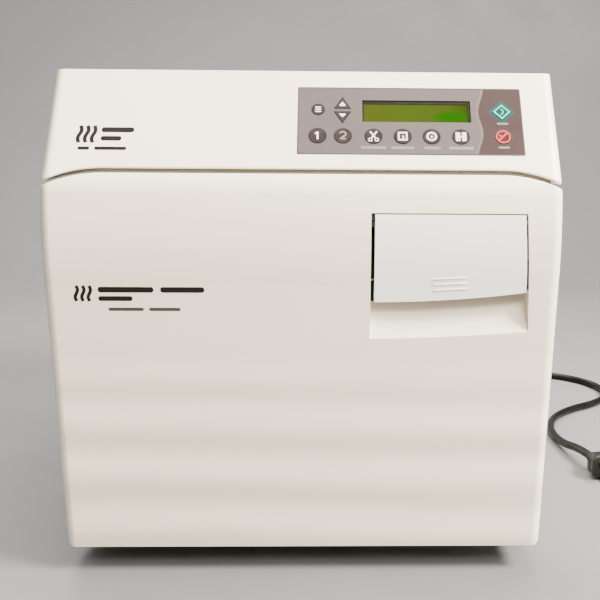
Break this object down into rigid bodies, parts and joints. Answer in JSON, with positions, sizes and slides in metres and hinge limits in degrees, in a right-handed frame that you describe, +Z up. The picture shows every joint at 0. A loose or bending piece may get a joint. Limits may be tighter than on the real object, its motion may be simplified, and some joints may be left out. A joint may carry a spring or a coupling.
{
  "type": "benchtop autoclave",
  "caption": "Benchtop steam autoclave: cream case, arched seam over a side-hinged door with a flap handle and latch, sloping console with keys and display, mains cord.",
  "frame": {"origin": "on the bench under the middle of the case, cord left out", "axes": "+X to the right of somebody at the door, -Y out of the door, +Z up"},
  "size_m": [0.6095, 0.6929, 0.404],
  "materials": {
    "cream_moulding": "satin, lightly reflective",
    "white_moulding": "satin",
    "enamelled_sheet": "powder coat",
    "frame_paint": "powder coat",
    "zinc_steel": "zinc plated",
    "bright_steel": "polished",
    "blackened_steel": "black oxide",
    "stainless": "brushed",
    "silicone": "matte",
    "black_rubber": "matte",
    "overlay_film": "fine matte film",
    "key_dark": "satin",
    "key_green": "satin",
    "key_red": "satin",
    "display": "glass fronted",
    "circuit_board": "solder mask",
    "lagging": "glass wool cloth",
    "tank_plastic": "translucent white",
    "brass_fittings": "machined",
    "black_moulding": "moulded",
    "cord_jacket": "satin"
  },
  "bodies": {
    "case": {"console_shell": "cream_moulding", "wrap_cover": "enamelled_sheet", "rear_panel": "enamelled_sheet", "front_frame": "frame_paint", "base_pan": "zinc_steel", "hinge_bracket": "zinc_steel", "latch_keepers": "zinc_steel", "chamber_cradle": "zinc_steel", "hinge_pin": "bright_steel", "panel_screws": "bright_steel", "chamber_vessel": "stainless", "tray_rack": "stainless", "band_heater": "stainless", "rear_feet": "black_rubber", "keypad_overlay": "overlay_film", "lcd_module": "display", "control_board": "circuit_board", "key_switches": "circuit_board", "power_board": "circuit_board", "chamber_insulation": "lagging", "water_reservoir": "tank_plastic", "solenoid_valves": "brass_fittings", "relief_valve": "brass_fittings", "steam_tubes": "brass_fittings", "condensing_coil": "brass_fittings", "circuit_breaker": "black_moulding", "door_switch": "black_moulding", "strain_relief": "black_moulding", "cord_tie": "black_moulding", "mains_plug": "black_moulding", "mains_cord": "cord_jacket", "cord_coil": "cord_jacket"},
    "door": {"door_cover": "cream_moulding", "door_inner_panel": "zinc_steel", "door_arm": "zinc_steel", "pressure_plate": "stainless", "door_gasket": "silicone", "door_screws": "bright_steel"},
    "handle": {"handle_flap": "white_moulding", "handle_rod": "blackened_steel"},
    "latch": {"latch_bar": "zinc_steel"},
    "lid": {"fill_lid": "enamelled_sheet"},
    "switch_plunger": {"door_switch_plunger": "black_moulding"},
    "relief_pull": {"relief_ring": "brass_fittings"},
    "breaker_reset": {"breaker_button": "black_moulding"},
    "foot_left": {"front_foot_left": "black_rubber"},
    "foot_right": {"front_foot_right": "black_rubber"},
    "lower_tray": {"tray_lower": "stainless"},
    "upper_tray": {"tray_upper": "stainless"},
    "key_program_body": {"key_program": "key_dark"},
    "key_up_body": {"key_up": "key_dark"},
    "key_down_body": {"key_down": "key_dark"},
    "key_1_body": {"key_1": "key_dark"},
    "key_2_body": {"key_2": "key_dark"},
    "key_cycle_1_body": {"key_cycle_1": "key_dark"},
    "key_cycle_2_body": {"key_cycle_2": "key_dark"},
    "key_cycle_3_body": {"key_cycle_3": "key_dark"},
    "key_cycle_4_body": {"key_cycle_4": "key_dark"},
    "key_start_body": {"key_start": "key_green"},
    "key_stop_body": {"key_stop": "key_red"}
  },
  "joints": [
    {"name": "door_swing", "type": "hinge", "parent": "case", "child": "door", "pos_m": [-0.184, -0.1965, 0.187], "axis": [0, 0, -1], "range_deg": [0, 95]},
    {"name": "handle_lift", "type": "hinge", "parent": "door", "child": "handle", "pos_m": [0.112, -0.258, 0.293], "axis": [-1, 0, 0], "range_deg": [0, 35], "stiffness_Nm_per_rad": 0.35, "springref_deg": -17.19},
    {"name": "latch_drop", "type": "slide", "parent": "door", "child": "latch", "axis": [0, 0, -1], "range_m": [0, 0.0139]},
    {"name": "lid_open", "type": "hinge", "parent": "case", "child": "lid", "pos_m": [-0.11, -0.022, 0.402], "axis": [-1, 0, 0], "range_deg": [0, 95]},
    {"name": "switch_press", "type": "slide", "parent": "case", "child": "switch_plunger", "axis": [0, 1, 0], "range_m": [0, 0.0025], "stiffness_N_per_m": 300, "springref_m": -0.001},
    {"name": "relief_pull_out", "type": "slide", "parent": "case", "child": "relief_pull", "axis": [0, 1, 0], "range_m": [0, 0.003], "stiffness_N_per_m": 3000, "springref_m": -0.002},
    {"name": "breaker_trip", "type": "slide", "parent": "case", "child": "breaker_reset", "axis": [0, 1, 0], "range_m": [0, 0.004]},
    {"name": "foot_left_screw", "type": "slide", "parent": "case", "child": "foot_left", "axis": [0, 0, 1], "range_m": [0, 0.006]},
    {"name": "foot_right_screw", "type": "slide", "parent": "case", "child": "foot_right", "axis": [0, 0, 1], "range_m": [0, 0.006]},
    {"name": "tray_lower_slide", "type": "slide", "parent": "case", "child": "lower_tray", "axis": [0, -1, 0], "range_m": [0, 0.03]},
    {"name": "tray_upper_slide", "type": "slide", "parent": "case", "child": "upper_tray", "axis": [0, -1, 0], "range_m": [0, 0.03]},
    {"name": "key_program_press", "type": "slide", "parent": "case", "child": "key_program_body", "axis": [0, 0.8398, -0.5429], "range_m": [0, 0.0005], "stiffness_N_per_m": 1500, "springref_m": -0.0002},
    {"name": "key_up_press", "type": "slide", "parent": "case", "child": "key_up_body", "axis": [0, 0.8398, -0.5429], "range_m": [0, 0.0005], "stiffness_N_per_m": 1500, "springref_m": -0.0002},
    {"name": "key_down_press", "type": "slide", "parent": "case", "child": "key_down_body", "axis": [0, 0.8398, -0.5429], "range_m": [0, 0.0005], "stiffness_N_per_m": 1500, "springref_m": -0.0002},
    {"name": "key_1_press", "type": "slide", "parent": "case", "child": "key_1_body", "axis": [0, 0.8398, -0.5429], "range_m": [0, 0.0005], "stiffness_N_per_m": 1500, "springref_m": -0.0002},
    {"name": "key_2_press", "type": "slide", "parent": "case", "child": "key_2_body", "axis": [0, 0.8398, -0.5429], "range_m": [0, 0.0005], "stiffness_N_per_m": 1500, "springref_m": -0.0002},
    {"name": "key_cycle_1_press", "type": "slide", "parent": "case", "child": "key_cycle_1_body", "axis": [0, 0.8398, -0.5429], "range_m": [0, 0.0005], "stiffness_N_per_m": 1500, "springref_m": -0.0002},
    {"name": "key_cycle_2_press", "type": "slide", "parent": "case", "child": "key_cycle_2_body", "axis": [0, 0.8398, -0.5429], "range_m": [0, 0.0005], "stiffness_N_per_m": 1500, "springref_m": -0.0002},
    {"name": "key_cycle_3_press", "type": "slide", "parent": "case", "child": "key_cycle_3_body", "axis": [0, 0.8398, -0.5429], "range_m": [0, 0.0005], "stiffness_N_per_m": 1500, "springref_m": -0.0002},
    {"name": "key_cycle_4_press", "type": "slide", "parent": "case", "child": "key_cycle_4_body", "axis": [0, 0.8398, -0.5429], "range_m": [0, 0.0005], "stiffness_N_per_m": 1500, "springref_m": -0.0002},
    {"name": "key_start_press", "type": "slide", "parent": "case", "child": "key_start_body", "axis": [0, 0.8398, -0.5429], "range_m": [0, 0.0005], "stiffness_N_per_m": 1500, "springref_m": -0.0002},
    {"name": "key_stop_press", "type": "slide", "parent": "case", "child": "key_stop_body", "axis": [0, 0.8398, -0.5429], "range_m": [0, 0.0005], "stiffness_N_per_m": 1500, "springref_m": -0.0002}
  ],
  "couplings": [
    {"joint": "latch_drop", "follows": "handle_lift", "m_per_rad": 0.022534}
  ]
}
